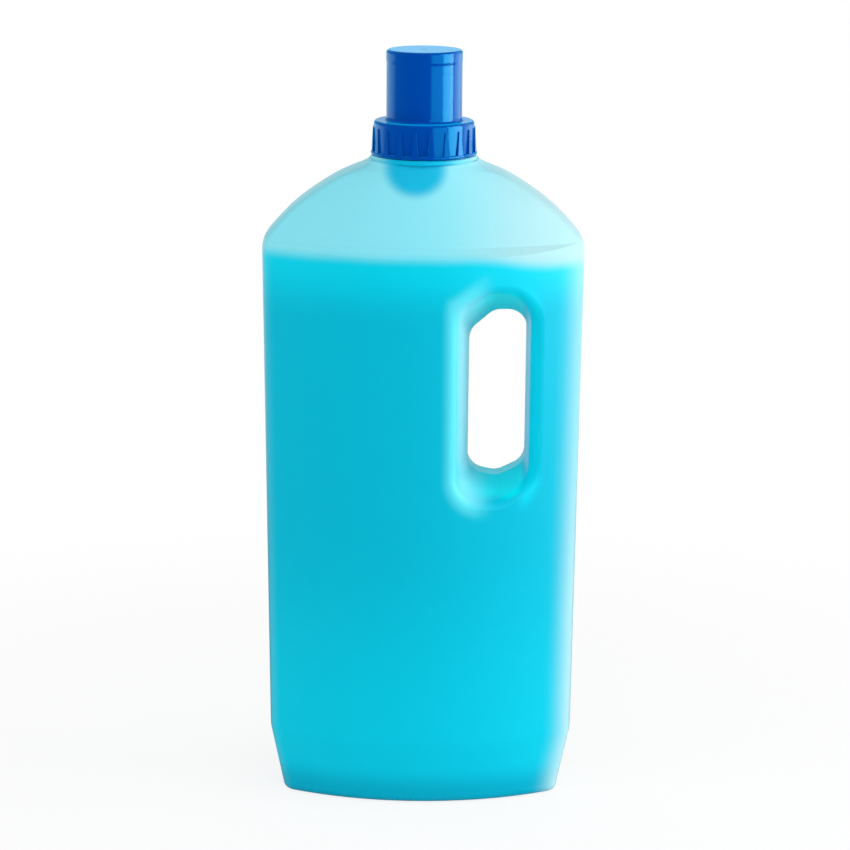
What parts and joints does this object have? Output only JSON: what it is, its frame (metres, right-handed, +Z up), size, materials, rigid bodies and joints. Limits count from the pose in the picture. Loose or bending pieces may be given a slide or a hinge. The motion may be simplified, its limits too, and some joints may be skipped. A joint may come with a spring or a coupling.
{
  "type": "fabric softener bottle",
  "caption": "Translucent oval bottle with a slanted handle eye, filled with liquid, with a drain-back pouring insert and a ribbed screw-on dosing cap.",
  "frame": {"origin": "middle of the bottle's standing face, on the axis of its neck", "axes": "+Z up along the neck, +X towards the side with the handle eye, -Y out of the front"},
  "size_m": [0.1366, 0.0734, 0.3204],
  "materials": {
    "bottle_shell": "translucent natural moulding, softly glossy",
    "softener_liquid": "milky turquoise liquid",
    "spout_plastic": "moulded blue",
    "seal_plastic": "soft white foam",
    "cap_plastic": "glossy moulded blue"
  },
  "bodies": {
    "filled_bottle": {"bottle": "bottle_shell", "softener": "softener_liquid", "pour_spout": "spout_plastic"},
    "washer": {"seal_ring": "seal_plastic"},
    "cap": {"dosing_cap": "cap_plastic"}
  },
  "joints": [
    {"name": "cap_lift", "type": "slide", "parent": "filled_bottle", "child": "washer", "axis": [0, 0, 1], "range_m": [0, 0.036]},
    {"name": "cap_turn", "type": "hinge", "parent": "washer", "child": "cap", "pos_m": [0, 0, 0.289], "axis": [0, 0, 1], "range_deg": [0, 2161]}
  ],
  "couplings": [
    {"joint": "cap_turn", "follows": "cap_lift", "rad_per_m": 1047.2}
  ]
}
